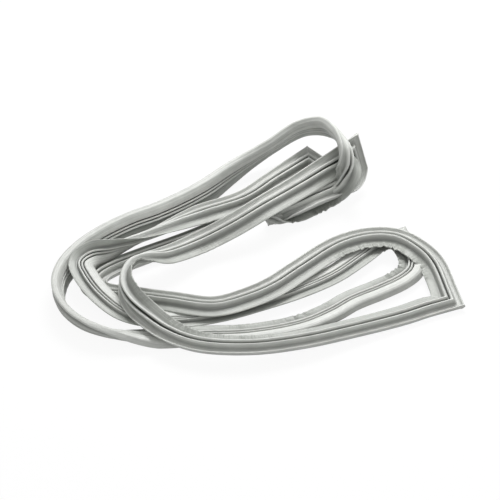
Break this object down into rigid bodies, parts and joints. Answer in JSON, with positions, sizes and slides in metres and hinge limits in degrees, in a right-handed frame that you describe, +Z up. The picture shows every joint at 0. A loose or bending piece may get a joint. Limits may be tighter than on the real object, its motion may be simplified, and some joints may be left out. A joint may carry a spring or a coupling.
{
  "type": "refrigerator door gasket",
  "caption": "Flexible ring seal for a refrigerator door, four mitred corners, folded up in loose bends as supplied.",
  "frame": {"origin": "centre of the folded ring's box, on the surface it lies on", "axes": "+X along the folded ring's longer side, +Y to the back, +Z up"},
  "size_m": [0.4084, 0.3374, 0.0705],
  "materials": {
    "soft_pvc": "satin"
  },
  "bodies": {
    "root": {"gasket_body": "soft_pvc"}
  },
  "joints": []
}
